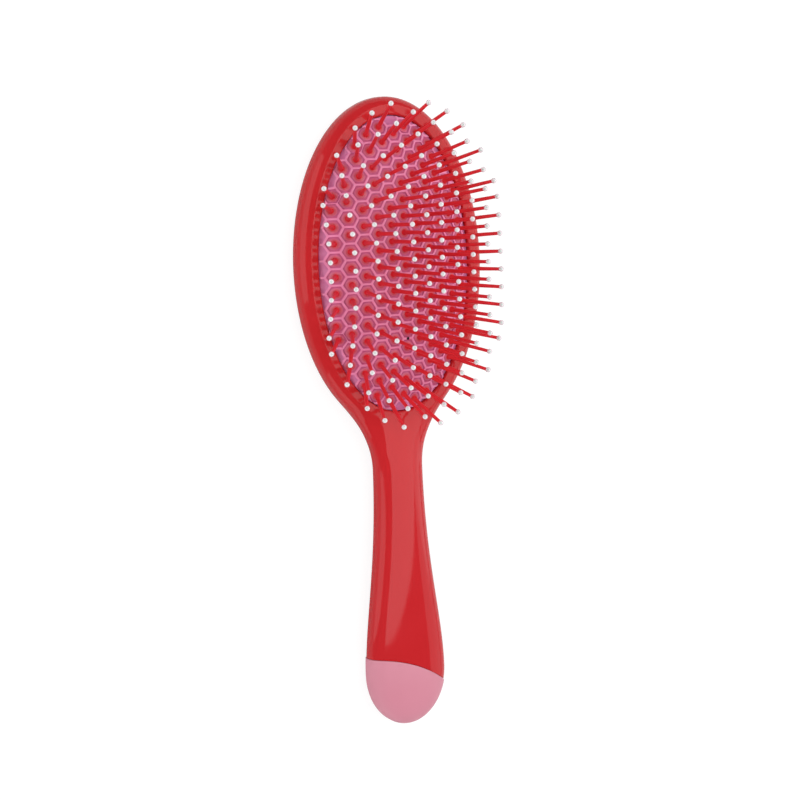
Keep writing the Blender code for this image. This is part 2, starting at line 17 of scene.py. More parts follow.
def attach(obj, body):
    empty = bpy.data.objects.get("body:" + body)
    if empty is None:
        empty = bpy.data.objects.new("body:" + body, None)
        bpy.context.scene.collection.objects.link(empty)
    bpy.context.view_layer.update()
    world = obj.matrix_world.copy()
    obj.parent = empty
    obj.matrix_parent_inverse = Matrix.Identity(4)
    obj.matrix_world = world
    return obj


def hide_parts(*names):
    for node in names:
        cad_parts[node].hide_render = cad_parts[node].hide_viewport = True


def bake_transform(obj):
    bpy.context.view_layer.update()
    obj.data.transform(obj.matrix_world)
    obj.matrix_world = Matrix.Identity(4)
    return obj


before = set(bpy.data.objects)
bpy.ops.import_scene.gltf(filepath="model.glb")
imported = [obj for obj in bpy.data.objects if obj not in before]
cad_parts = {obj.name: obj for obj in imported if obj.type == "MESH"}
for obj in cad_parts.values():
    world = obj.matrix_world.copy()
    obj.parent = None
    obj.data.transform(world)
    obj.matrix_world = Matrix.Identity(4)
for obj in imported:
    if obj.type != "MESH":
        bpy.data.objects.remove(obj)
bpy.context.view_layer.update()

# Outline, seen from the front
HEAD_HALF_WIDTH = 0.0384
HEAD_HALF_LENGTH = 0.0617
SHOULDER_ABOVE_OVAL_END = 0.0117
SHOULDER_HEAD_PULL = 0.010
SHOULDER_NECK_PULL = 0.011
NECK_BELOW_OVAL_END = 0.0153
NECK_HALF_WIDTH = 0.00975
NECK_HANDLE_PULL = 0.038
HANDLE_LENGTH = 0.079
GRIP_HALF_WIDTH = 0.0162
GRIP_PULL = 0.020
END_LENGTH = 0.0205

# Heights above and below the plane where the two shells meet
RIM_HEIGHT = 0.0056
NECK_TOP = 0.0072
GRIP_TOP = 0.0080
BACK_DEPTH = 0.0080
NECK_UNDER = 0.0062
SIDE_LAND = 0.0008
BACK_CORNER = 0.0090
SEAM_HALF = 0.00007  # half of the fine line that shows where the shells meet

# Crease on the rim. The side below it has turned over by the side turn where they meet. It
# leaves its oval on each side of the handle and runs down on to the handle's own curve.
CREASE_IN_AT_SIDE = 0.0041
CREASE_IN_AT_TIP = 0.0031
SIDE_TURN = radians(45)
CREASE_LEAVES_OVAL = radians(-71)
CREASE_OVAL_PULL = 0.0035
CREASE_NECK_PULL = 0.014
CREASE_ROUNDING = 0.00035

# Slope from the crease down to the cushion's opening
RIM_WIDTH_AT_SIDE = 0.0070
RIM_WIDTH_AT_TIP = 0.0069
LIP_HEIGHT = 0.0055
LIP_THICKNESS = 0.0029
LIP_ROUNDING = 0.0009

# Walls and gaps, and how near two points count as one
WALL = 0.0024
GAP = 0.0003
MERGE = 0.000002

# Cushion. Its border rises to the lip from a share of the way out, and its foot, up to a small
# height, stays with the body while the rest sinks with the pins.
CROWN_RISE = 0.0093
CROWN_BELOW_LIP = 0.0018
CROWN_IN_AT_SIDE = 0.0002
CROWN_POWER_ACROSS = 2.9
CROWN_POWER_ALONG = 3.7
BORDER_RISE_FROM = 0.91
MEMBRANE = 0.0012
FLANGE_WIDTH = 0.0033
VENT_RADIUS = 0.0005
VENT_LAND_RADIUS = 0.0007
SLOPE_STEP = 0.0003  # how far on each side of a pin the crown's slope is measured

# Honeycomb on the cushion: a ridge round each cell, a groove inside it, and a low round boss
# that the pin stands on
RIDGE_RISE = 0.00030
RIDGE_CROWN_HALF = 0.00022
RIDGE_SHOULDER = 0.00016
RIDGE_SHOULDER_DROP = 0.00008
RIDGE_FLANK = 0.00018
GROOVE_SINK = 0.00024
BOSS_FOOT_RADIUS = 0.00208
BOSS_FLANK = 0.00016
BOSS_RISE = 0.00004
HOLE_RADIUS = 0.00090

# Pins: a triangular lattice in columns along the brush. Lattice places as far out as the kept
# share of the opening hold a pin, and those beyond the border share are drawn in to it. The vent
# lies a number of half steps toward the handle, between two pins of the middle column.
PITCHES_IN_HALF_WIDTH = 5.2
COLUMN_COUNT = 11
VENT_STEP = 9
KEPT_SHARE = 0.975
BORDER_SHARE = 0.935
PIN_REACH = 0.0175
ROOT_RADIUS = 0.00124
ROOT_NECK_RADIUS = 0.00080
ROOT_HEIGHT = 0.0017
ROOT_FLARE = [(0.97, 0.35), (0.80, 0.65)]  # shares of the root's radius and of its height
SHAFT_TOP_RADIUS = 0.00063
BALL_RADIUS = 0.00100

# Cap on the end of the handle. Its edge is cut straight through the handle, on a curve that
# starts level at the -X side and bends away toward the end at the +X side.
CAP_WALL = 0.0013
CAP_PROUD = 0.0003
CAP_EDGE_ABOVE_GRIP = 0.0070
CAP_EDGE_DROP = 0.0138
CAP_EDGE_ROUNDING = 0.00022
CAP_EDGE_ANGLE = radians(60)
SPIGOT_OVERLAP = 0.0012
CUTTER_REACH = 0.0200

# Edges sharper than these stay sharp in the shading
SHELL_SMOOTHING = radians(50)
RUBBER_SMOOTHING = radians(70)
PIN_SMOOTHING = radians(50)
BALL_SMOOTHING = radians(60)

# How the materials' patterns lie: noise scales per metre, and the depth of the finest ripple
CLOUD_SCALE = 60.0
RIPPLE_SCALE = 700.0
RIPPLE_DEPTH = 0.0001

# Camera, with its sensor and its lens in millimetres
SENSOR_WIDTH = 36.0
LENS = 79.115
CAMERA_PLACE = (-0.30706, 0.09447, 0.58860)
CAMERA_TURN = (radians(-6.402), radians(-28.337), radians(-2.637))

# Softboxes, placed from the middle of the brush. The one overhead and the one on the right meet
# at the top, and a dimmer one goes on from the right one toward the handle.
OVERHEAD_HEIGHT = 1.0
OVERHEAD_LEFT = -0.47
OVERHEAD_NEAR = -0.302
OVERHEAD_BRIGHTNESS = 2.2
RIGHT_X = 1.3
RIGHT_FAR = 1.0
RIGHT_FOOT = 0.10
RIGHT_BRIGHTNESS = 1.6
DIM_NEAR = -0.9
DIM_BRIGHTNESS = 0.9
LEFT_X = -1.0
LEFT_NEAR = -0.2
LEFT_FAR = 1.0
LEFT_TOP = 0.75
LEFT_BRIGHTNESS = 1.7
FRONT_Y = -1.2
FRONT_LEFT = -1.3
FRONT_RIGHT = -0.1
FRONT_TOP = 0.6
FRONT_BRIGHTNESS = 1.5

# Fill lights, which the gloss doesn't show
LEFT_FILL_PLACE = (-1.1, -0.35, 0.75)
LEFT_FILL_SIZE = 1.2
LEFT_FILL_BRIGHTNESS = 1.0
FRONT_FILL_PLACE = (0.5, -1.2, 0.35)
FRONT_FILL_SIZE = 0.7
FRONT_FILL_BRIGHTNESS = 2.4

# Room round the brush: the walls turn from the left one's tone to the right one's, and from the
# walls' tone to the ceiling's, as the direction's sideways and upward parts pass these values
LEFT_WALL_BRIGHTNESS = 0.10
RIGHT_WALL_BRIGHTNESS = 0.045
CEILING_BRIGHTNESS = 0.0125
WALL_TURN = 0.3
WALL_TOP = 0.18
CEILING_EDGE = 0.42
FLOOR_SIZE = 6.0

# Counts of steps and of sides
HEAD_STEPS = 72
CREASE_STEPS = 12
TONGUE_STEPS = 24
HANDLE_STEPS = 40
END_STEPS = 20
SIDE_STEPS = 8
TOP_STEPS = 5
BACK_STEPS = 14
CORNER_STEPS = 4
CLOSING_STEPS = 4  # those of the tongue's steps in which the lip still closes
CAP_EDGE_STEPS = 40
CAP_ROUNDING_STEPS = 3
BORDER_PLANES = 96
CELL_SIDE_CUTS = 3
SPARE_HALF_STEPS = 3
NEAREST_PINS = 3
PIN_SIDES = 8
BALL_SEGMENTS = 10
BALL_RINGS = 7

# Places that follow from the sizes above, with distances from the middle of the head. The grip
# is as deep under the parting plane as lets the cap round it touch the resting plane.
GRIP_UNDER = BACK_DEPTH - CAP_PROUD
SHOULDER_START = HEAD_HALF_LENGTH - SHOULDER_ABOVE_OVAL_END
NECK_DISTANCE = HEAD_HALF_LENGTH + NECK_BELOW_OVAL_END
GRIP_DISTANCE = NECK_DISTANCE + HANDLE_LENGTH
CAP_EDGE_START = GRIP_DISTANCE - CAP_EDGE_ABOVE_GRIP
TOTAL_LENGTH = HEAD_HALF_LENGTH + GRIP_DISTANCE + END_LENGTH + CAP_PROUD
HEAD_CENTRE_Y = TOTAL_LENGTH / 2 - HEAD_HALF_LENGTH
PARTING_Z = BACK_DEPTH
PLACE = Vector((0.0, HEAD_CENTRE_Y, PARTING_Z))
CREASE_HALF_WIDTH = HEAD_HALF_WIDTH - CREASE_IN_AT_SIDE
CREASE_HALF_LENGTH = HEAD_HALF_LENGTH - CREASE_IN_AT_TIP
LIP_HALF_WIDTH = HEAD_HALF_WIDTH - RIM_WIDTH_AT_SIDE
LIP_HALF_LENGTH = HEAD_HALF_LENGTH - RIM_WIDTH_AT_TIP
PAD_HALF_WIDTH = LIP_HALF_WIDTH - CROWN_IN_AT_SIDE
PAD_HALF_LENGTH = LIP_HALF_LENGTH
CUSHION_HALF_WIDTH = LIP_HALF_WIDTH - GAP
CUSHION_HALF_LENGTH = LIP_HALF_LENGTH - GAP
CROWN_TOP = LIP_HEIGHT - CROWN_BELOW_LIP + CROWN_RISE
PIN_PITCH = PAD_HALF_WIDTH / PITCHES_IN_HALF_WIDTH
SEAT_HEIGHT = LIP_HEIGHT - LIP_THICKNESS
FLANGE_TOP = SEAT_HEIGHT - GAP
VENT_Y = -VENT_STEP * PIN_PITCH / 2
SPIGOT_INSET = CAP_WALL - CAP_PROUD + GAP


def pick(obj):
    """Leaves only this object selected, and makes it the active one."""
    bpy.ops.object.select_all(action="DESELECT")
    obj.select_set(True)
    bpy.context.view_layer.objects.active = obj


def apply_modifiers(obj):
    pick(obj)
    for modifier in list(obj.modifiers):
        bpy.ops.object.modifier_apply(modifier=modifier.name)


def join_pieces(name, pieces):
    bpy.ops.object.select_all(action="DESELECT")
    for piece in pieces:
        piece.select_set(True)
    bpy.context.view_layer.objects.active = pieces[0]
    bpy.ops.object.join()
    joined = bpy.context.view_layer.objects.active
    joined.name = name
    joined.data.name = name
    return joined


def copy_to(model, matrix):
    """A copy of a modelled piece with its own mesh, moved to its place."""
    copied = model.copy()
    copied.data = model.data.copy()
    copied.data.transform(matrix)
    bpy.context.scene.collection.objects.link(copied)
    return copied


def place_into_mesh(obj):
    """Moves the object's place and turn into its mesh."""
    obj.data.transform(obj.matrix_world)
    obj.matrix_world = Matrix.Identity(4)


@contextmanager
def open_mesh(obj):
    """The object's mesh, open to changes until the block that uses it ends."""
    bm = bmesh.new()
    bm.from_mesh(obj.data)
    yield bm
    bm.to_mesh(obj.data)
    bm.free()


def points_among(geometry):
    return [item for item in geometry if isinstance(item, bmesh.types.BMVert)]


def object_from(bm, name):
    mesh = bpy.data.meshes.new(name)
    bm.to_mesh(mesh)
    bm.free()
    obj = bpy.data.objects.new(name, mesh)
    bpy.context.scene.collection.objects.link(obj)
    return obj


def merge_and_turn_out(obj):
    """Merges points that lie together, and turns the faces outward."""
    pick(obj)
    bpy.ops.object.mode_set(mode="EDIT")
    bpy.ops.mesh.select_all(action="SELECT")
    bpy.ops.mesh.remove_doubles(threshold=MERGE)
    bpy.ops.mesh.dissolve_degenerate(threshold=MERGE)
    bpy.ops.mesh.select_all(action="SELECT")
    bpy.ops.mesh.normals_make_consistent(inside=False)
    bpy.ops.object.mode_set(mode="OBJECT")


def add_wall(obj, thickness, even=True):
    """Gives a skin its thickness, inward. An even wall is as thick at a sharp bend as elsewhere."""
    wall = obj.modifiers.new("wall", "SOLIDIFY")
    wall.thickness = thickness
    wall.offset = -1.0
    wall.use_even_offset = even


def settle(obj, material, smooth_angle):
    """Moves the finished piece from the head's middle to its place, and gives it its finish."""
    obj.data.transform(Matrix.Translation(PLACE))
    obj.data.materials.clear()
    obj.data.materials.append(material)
    pick(obj)
    bpy.ops.object.shade_smooth_by_angle(angle=smooth_angle)


def bezier(start, start_handle, end_handle, end, steps):
    """Points after the start, up to and with the end."""
    points = interpolate_bezier(
        Vector((*start, 0.0)), Vector((*start_handle, 0.0)),
        Vector((*end_handle, 0.0)), Vector((*end, 0.0)), steps + 1)
    return [(point.x, point.y) for point in points[1:]]


class Station:
    """One place on the half outline, with the points that its spokes run to: over the front by
    the crease to the foot, and over the back to the back's crest."""

    def __init__(self, edge, crease, crease_height, foot, foot_height, back_crest, under,
                 roundness, on_oval=False):
        """Roundness goes from 0 on the head, with its sloped rim, to 1 on the round handle."""
        self.edge = Vector(edge)
        self.crease = Vector(crease)
        self.crease_height = crease_height
        self.foot = Vector(foot)
        self.foot_height = foot_height
        self.back_crest = Vector(back_crest)
        self.under = under
        self.roundness = roundness
        self.on_oval = on_oval


def round_station(edge, middle, top, under):
    """A station of the handle, whose front is a quarter ellipse from the edge to the middle."""
    crease = Vector(edge).lerp(Vector(middle), 1 - cos(SIDE_TURN))
    crease_height = SIDE_LAND + (top - SIDE_LAND) * sin(SIDE_TURN)
    return Station(edge, crease, crease_height, middle, top, middle, under, 1.0)


def crease_on_oval(angle):
    return (CREASE_HALF_WIDTH * cos(angle), CREASE_HALF_LENGTH * sin(angle))


def back_crest_on_oval(angle):
    return ((HEAD_HALF_WIDTH - BACK_CORNER) * cos(angle),
            (HEAD_HALF_LENGTH - BACK_CORNER) * sin(angle))


def lip_on_oval(angle):
    return (LIP_HALF_WIDTH * cos(angle), LIP_HALF_LENGTH * sin(angle))


def head_stations():
    """From the tip of the head round to where the shoulder leaves the oval."""
    last = -asin(SHOULDER_START / HEAD_HALF_LENGTH)
    stations = []
    for step in range(HEAD_STEPS + 1):
        angle = pi / 2 + (last - pi / 2) * step / HEAD_STEPS
        edge = (HEAD_HALF_WIDTH * cos(angle), HEAD_HALF_LENGTH * sin(angle))
        stations.append(Station(edge, crease_on_oval(angle), RIM_HEIGHT, lip_on_oval(angle),
                                LIP_HEIGHT, back_crest_on_oval(angle), BACK_DEPTH, 0.0, True))
    return stations, last


def shoulder_edges(last):
    """The outline from where it leaves the head's oval to the neck."""
    start = (HEAD_HALF_WIDTH * cos(last), HEAD_HALF_LENGTH * sin(last))
    slope = Vector((-HEAD_HALF_WIDTH * sin(last), HEAD_HALF_LENGTH * cos(last))).normalized()
    start_handle = (start[0] - slope.x * SHOULDER_HEAD_PULL, start[1] - slope.y * SHOULDER_HEAD_PULL)
    end = (NECK_HALF_WIDTH, -NECK_DISTANCE)
    end_handle = (NECK_HALF_WIDTH, -NECK_DISTANCE + SHOULDER_NECK_PULL)
    return bezier(start, start_handle, end_handle, end, CREASE_STEPS + TONGUE_STEPS)


def crease_to_neck(start):
    """The crease from where it leaves its oval to the neck, where it lies on the round handle."""
    slope = Vector((-CREASE_HALF_WIDTH * sin(CREASE_LEAVES_OVAL),
                    CREASE_HALF_LENGTH * cos(CREASE_LEAVES_OVAL))).normalized()
    start_handle = (start[0] - slope.x * CREASE_OVAL_PULL, start[1] - slope.y * CREASE_OVAL_PULL)
    end = (NECK_HALF_WIDTH * cos(SIDE_TURN), -NECK_DISTANCE)
    end_handle = (end[0], end[1] + CREASE_NECK_PULL)
    return bezier(start, start_handle, end_handle, end, TONGUE_STEPS)


def shoulder_stations(last):
    """While the crease is on its oval the spokes end on the lip, which closes at the middle.
    From there they end on the middle line of the tongue, which rises from the lip to the neck."""
    edges = shoulder_edges(last)
    creases = []
    for step in range(1, CREASE_STEPS + 1):
        creases.append(crease_on_oval(last + (CREASE_LEAVES_OVAL - last) * step / CREASE_STEPS))
    creases += crease_to_neck(creases[-1])
    neck_crease_height = SIDE_LAND + (NECK_TOP - SIDE_LAND) * sin(SIDE_TURN)
    closing_steps = CREASE_STEPS + CLOSING_STEPS
    stations = []
    for step, (edge, crease) in enumerate(zip(edges, creases), start=1):
        turn = min(1.0, step / closing_steps)
        down = max(0.0, (step - closing_steps) / (len(edges) - closing_steps))
        eased = down * down * (3 - 2 * down)
        angle = last + (-pi / 2 - last) * turn
        foot = Vector(lip_on_oval(angle)).lerp(Vector((0.0, -NECK_DISTANCE)), down)
        back_crest = Vector(back_crest_on_oval(angle)).lerp(Vector((0.0, -NECK_DISTANCE)), down)
        stations.append(Station(
            edge, crease, RIM_HEIGHT + (neck_crease_height - RIM_HEIGHT) * eased,
            foot, LIP_HEIGHT + (NECK_TOP - LIP_HEIGHT) * sin(down * pi / 2),
            back_crest, BACK_DEPTH + (NECK_UNDER - BACK_DEPTH) * eased, eased, down == 0))
    return stations


def handle_stations(inset=0.0):
    """From the neck to the widest part of the grip."""
    edges = [(NECK_HALF_WIDTH, -NECK_DISTANCE)]
    edges += bezier(edges[0], (NECK_HALF_WIDTH, -NECK_DISTANCE - NECK_HANDLE_PULL),
                    (GRIP_HALF_WIDTH, -GRIP_DISTANCE + GRIP_PULL),
                    (GRIP_HALF_WIDTH, -GRIP_DISTANCE), HANDLE_STEPS)
    stations = []
    for x, y in edges:
        share = (-y - NECK_DISTANCE) / HANDLE_LENGTH
        stations.append(round_station((x - inset, y), (0.0, y),
                                      NECK_TOP + (GRIP_TOP - NECK_TOP) * share - inset,
                                      NECK_UNDER + (GRIP_UNDER - NECK_UNDER) * share - inset))
    return stations


def end_stations(inset=0.0):
    """The rounded end, whose spokes all run to the middle of the grip's widest section."""
    middle = (0.0, -GRIP_DISTANCE)
    stations = []
    for step in range(1, END_STEPS + 1):
        angle = pi / 2 * step / END_STEPS
        edge = ((GRIP_HALF_WIDTH - inset) * cos(angle),
                -GRIP_DISTANCE - (END_LENGTH - inset) * sin(angle))
        stations.append(round_station(edge, middle, GRIP_TOP - inset, GRIP_UNDER - inset))
    return stations


def rounded_corner(before, corner, after, reach):
    """Points that take a corner on a curve, from one side of it to the other."""
    start = corner + (before - corner).normalized() * reach
    end = corner + (after - corner).normalized() * reach
    points = []
    for step in range(CORNER_STEPS + 1):
        share = step / CORNER_STEPS
        points.append(start.lerp(corner, share).lerp(corner.lerp(end, share), share))
    return points


def front_points(station):
    """Over the front: the side's curve, the rounded crease, then the slope to the rounded lip and
    down its inner side, or on the handle the rest of its curve."""
    side = []
    for step in range(SIDE_STEPS + 1):
        turn = SIDE_TURN * step / SIDE_STEPS
        place = station.edge.lerp(station.crease, (1 - cos(turn)) / (1 - cos(SIDE_TURN)))
        rise = (station.crease_height - SIDE_LAND) * sin(turn) / sin(SIDE_TURN)
        side.append(Vector((place.x, place.y, SIDE_LAND + rise)))
    crease = side.pop()
    foot = Vector((*station.foot, station.foot_height))
    top = []
    for step in range(1, TOP_STEPS + 1):
        share = step / TOP_STEPS
        turn = SIDE_TURN + (pi / 2 - SIDE_TURN) * share
        place = station.crease.lerp(station.foot, 1 - cos(turn) / cos(SIDE_TURN))
        rise = (foot.z - crease.z) * (sin(turn) - sin(SIDE_TURN)) / (1 - sin(SIDE_TURN))
        on_curve = Vector((place.x, place.y, crease.z + rise))
        top.append(crease.lerp(foot, share).lerp(on_curve, station.roundness))
    corner = rounded_corner(side[-1], crease, top[0], CREASE_ROUNDING * (1 - station.roundness))
    seam = Vector((*station.edge, SEAM_HALF))
    if not station.on_oval:
        return [seam] + side + corner + top
    outward = Vector((foot.x / LIP_HALF_WIDTH ** 2, foot.y / LIP_HALF_LENGTH ** 2, 0.0))
    lip_start = foot + outward.normalized() * LIP_ROUNDING
    below_lip = Vector((*station.foot, SEAT_HEIGHT))
    land = [crease.lerp(lip_start, step / TOP_STEPS) for step in range(1, TOP_STEPS)]
    lip = rounded_corner(lip_start, foot, below_lip, LIP_ROUNDING) + [below_lip]
    return [seam] + side + corner + land + lip


def back_points(station):
    """Over the back: a quarter ellipse from the side's land to the back's crest."""
    points = [Vector((*station.edge, -SEAM_HALF))]
    for step in range(BACK_STEPS + 1):
        turn = pi / 2 * step / BACK_STEPS
        place = station.edge.lerp(station.back_crest, 1 - cos(turn))
        depth = SIDE_LAND + (station.under - SIDE_LAND) * sin(turn)
        points.append(Vector((place.x, place.y, -depth)))
    return points


def outline_stations():
    head, last = head_stations()
    return head + shoulder_stations(last) + handle_stations()[1:] + end_stations()


def skin_from(name, rows):
    """Faces between rows of points that start together and may end apart."""
    bm = bmesh.new()
    lines = [[bm.verts.new(point) for point in row] for row in rows]
    for line, following in zip(lines, lines[1:]):
        for step in range(min(len(line), len(following)) - 1):
            bm.faces.new((line[step], line[step + 1], following[step + 1], following[step]))
    return object_from(bm, name)


def mirror_across(obj):
    """Adds the other half, on the -X side."""
    mirror = obj.modifiers.new("mirror", "MIRROR")
    mirror.merge_threshold = MERGE
    apply_modifiers(obj)


def cap_edge_point(x, gap):
    """A point on the cap's edge, seen from above and moved off it toward the head by a gap."""
    share = (x + GRIP_HALF_WIDTH) / (2 * GRIP_HALF_WIDTH)
    fall = CAP_EDGE_DROP * share / GRIP_HALF_WIDTH
    on_edge = Vector((x, -CAP_EDGE_START - CAP_EDGE_DROP * share ** 2))
    return on_edge + Vector((fall, 1.0)).normalized() * gap


def cut_at_cap_edge(obj, gap, keep_end):
    """Cuts the piece along the cap's edge, and keeps the end of the handle or the rest."""
    far = GRIP_DISTANCE + END_LENGTH + CUTTER_REACH
    outline = [cap_edge_point(CUTTER_REACH * (1 - 2 * step / CAP_EDGE_STEPS), gap)
               for step in range(CAP_EDGE_STEPS + 1)]
    outline += [Vector((-CUTTER_REACH, -far)), Vector((CUTTER_REACH, -far))]
    bm = bmesh.new()
    floor = bm.faces.new([bm.verts.new((point.x, point.y, -CUTTER_REACH)) for point in outline])
    drawn = bmesh.ops.extrude_face_region(bm, geom=[floor])["geom"]
    bmesh.ops.translate(bm, verts=points_among(drawn), vec=(0.0, 0.0, 2 * CUTTER_REACH))
    bmesh.ops.recalc_face_normals(bm, faces=bm.faces)
    block = object_from(bm, "end_block")
    cut = obj.modifiers.new("cut", "BOOLEAN")
    cut.operation = "INTERSECT" if keep_end else "DIFFERENCE"
    cut.object = block
    apply_modifiers(obj)
    bpy.data.objects.remove(block)


def spigot(side):
    """The reduced end of the front shell, side 1, or the back shell, side -1, inside the cap."""
    points = front_points if side > 0 else back_points
    stations = handle_stations(SPIGOT_INSET)[HANDLE_STEPS // 2:] + end_stations(SPIGOT_INSET)
    piece = skin_from("spigot", [points(station) for station in stations])
    mirror_across(piece)
    merge_and_turn_out(piece)
    add_wall(piece, WALL / 2)
    apply_modifiers(piece)
    cut_at_cap_edge(piece, SPIGOT_OVERLAP, True)
    return piece


def shell_from(name, skin, side):
    """The skin with its wall, cut off at the cap's edge, and its spigot."""
    mirror_across(skin)
    merge_and_turn_out(skin)
    add_wall(skin, WALL)
    apply_modifiers(skin)
    cut_at_cap_edge(skin, GAP / 2, False)
    return join_pieces(name, [skin, spigot(side)])


def make_front_shell(material):
    skin = skin_from("front_skin", [front_points(station) for station in outline_stations()])
    shell = shell_from("front_casing", skin, 1)
    settle(shell, material, SHELL_SMOOTHING)
    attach(shell, "brush_body")
    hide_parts("front_shell")


def close_flat_back(skin):
    """Fills the flat of the back, inside the crest's half oval, whose points run down from its
    tip in the order of their y."""
    with open_mesh(skin) as bm:
        bmesh.ops.remove_doubles(bm, verts=bm.verts, dist=MERGE)
        crest = [edge for edge in bm.edges if edge.is_boundary
                 and all(abs(vert.co.z + BACK_DEPTH) < MERGE for vert in edge.verts)]
        crest_points = {vert for edge in crest for vert in edge.verts}
        bm.faces.new(sorted(crest_points, key=lambda vert: -vert.co.y))


def make_back_shell(material):
    skin = skin_from("back_skin", [back_points(station) for station in outline_stations()])
    close_flat_back(skin)
    shell = shell_from("back_casing", skin, -1)
    settle(shell, material, SHELL_SMOOTHING)
    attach(shell, "brush_body")
    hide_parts("back_shell")


def make_end_cap(material):
    """A skin a little outside the handle's end, given its wall and cut off at the curved edge."""
    rows = []
    for station in handle_stations(-CAP_PROUD)[HANDLE_STEPS // 2:] + end_stations(-CAP_PROUD):
        rows.append(front_points(station)[:0:-1] + back_points(station)[1:])
    cap = skin_from("end_cap_skin", rows)
    mirror_across(cap)
    merge_and_turn_out(cap)
    add_wall(cap, CAP_WALL)
    apply_modifiers(cap)
    cut_at_cap_edge(cap, 0.0, True)
    rounding = cap.modifiers.new("rounding", "BEVEL")
    rounding.width = CAP_EDGE_ROUNDING
    rounding.segments = CAP_ROUNDING_STEPS
    rounding.limit_method = "ANGLE"
    rounding.angle_limit = CAP_EDGE_ANGLE
    apply_modifiers(cap)
    cap.name = "handle_end_cap"
    settle(cap, material, SHELL_SMOOTHING)
    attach(cap, "brush_body")
    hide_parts("end_cap")


def crown_height(x, y):
    """Height of the cushion's face above the parting plane."""
    across = (x / PAD_HALF_WIDTH) ** 2
    along = (y / PAD_HALF_LENGTH) ** 2
    reach = across + along
    if reach == 0:
        return CROWN_TOP
    power = CROWN_POWER_ACROSS + (CROWN_POWER_ALONG - CROWN_POWER_ACROSS) * along / reach
    return CROWN_TOP - CROWN_RISE * reach ** (power / 2)


def crown_frame(x, y):
    """Matrix that stands a pin on the cushion's face, square to it."""
    step = SLOPE_STEP
    slope_x = (crown_height(x + step, y) - crown_height(x - step, y)) / (2 * step)
    slope_y = (crown_height(x, y + step) - crown_height(x, y - step)) / (2 * step)
    outward = Vector((-slope_x, -slope_y, 1)).normalized()
    along = Vector((0, 1, slope_y)).normalized()
    across = along.cross(outward).normalized()
    turn = Matrix((across, outward.cross(across), outward)).transposed().to_4x4()
    return Matrix.Translation((x, y, crown_height(x, y))) @ turn


def reach_of(x, y):
    """How far out a place lies, as a share of the way from the cushion's middle to the lip."""
    return sqrt((x / PAD_HALF_WIDTH) ** 2 + (y / PAD_HALF_LENGTH) ** 2)


def lattice_column(column):
    """Places of one column of cells, from the handle's end of the cushion to its tip."""
    offset = column - COLUMN_COUNT // 2
    last = int(2 * PAD_HALF_LENGTH / PIN_PITCH) + SPARE_HALF_STEPS
    return [(offset * PIN_PITCH * sqrt(3) / 2, step * PIN_PITCH / 2)
            for step in range(-last, last + 1) if (step - offset) % 2 == 0]


def drawn_in(x, y):
    """Where the pin of a lattice place stands: the outermost are drawn in to the border share."""
    draw = BORDER_SHARE / max(reach_of(x, y), BORDER_SHARE)
    return x * draw, y * draw


def kept_places(column):
    """The column's lattice places that hold a pin."""
    return [(x, y) for x, y in lattice_column(column) if reach_of(x, y) < KEPT_SHARE]


def shrink_ring(from_apothem, to_apothem, lift):
    """Draws the next ring of a cell out of the selected one, toward the middle."""
    bpy.ops.mesh.extrude_edges_move()
    share = to_apothem / from_apothem
    bpy.ops.transform.resize(value=(share, share, 1.0))
    bpy.ops.transform.translate(value=(0.0, 0.0, lift))


def mark_cell(cell, with_hole):
    """Keeps each point's place in the cell, in pitches, and whether the cell has a pin."""
    pinned = cell.data.attributes.new("pinned", "FLOAT", "CORNER")
    for mark in pinned.data:
        mark.value = float(with_hole)
    places = cell.data.uv_layers.new(name="cell").data
    for loop in cell.data.loops:
        corner = cell.data.vertices[loop.vertex_index].co
        places[loop.index].uv = (corner.x / PIN_PITCH, corner.y / PIN_PITCH)


def make_cell(name, with_hole):
    """One six-sided cell of the cushion: half of its ridges, the groove inside them, and, where
    it has a pin, the pin's boss and hole. Its middle is at the origin."""
    edge = PIN_PITCH / 2
    bpy.ops.mesh.primitive_circle_add(vertices=6, radius=PIN_PITCH / sqrt(3), fill_type="NOTHING",
                                      rotation=(0.0, 0.0, radians(30)), enter_editmode=True)
    bpy.ops.mesh.select_all(action="SELECT")
    bpy.ops.mesh.subdivide(number_cuts=CELL_SIDE_CUTS)
    bpy.ops.transform.translate(value=(0.0, 0.0, RIDGE_RISE))
    crown_edge = edge - RIDGE_CROWN_HALF
    shoulder_edge = crown_edge - RIDGE_SHOULDER
    flank_foot = shoulder_edge - RIDGE_FLANK
    shrink_ring(edge, crown_edge, 0.0)
    shrink_ring(crown_edge, shoulder_edge, -RIDGE_SHOULDER_DROP)
    shrink_ring(shoulder_edge, flank_foot, RIDGE_SHOULDER_DROP - RIDGE_RISE - GROOVE_SINK)
    if with_hole:
        shrink_ring(flank_foot, BOSS_FOOT_RADIUS, 0.0)
        bpy.ops.transform.tosphere(value=1.0)
        shrink_ring(BOSS_FOOT_RADIUS, BOSS_FOOT_RADIUS - BOSS_FLANK, GROOVE_SINK + BOSS_RISE)
        shrink_ring(BOSS_FOOT_RADIUS - BOSS_FLANK, HOLE_RADIUS, 0.0)
    else:
        bpy.ops.mesh.edge_face_add()
    bpy.ops.object.mode_set(mode="OBJECT")
    cell = bpy.context.active_object
    cell.name = name
    place_into_mesh(cell)
    mark_cell(cell, with_hole)
    return cell


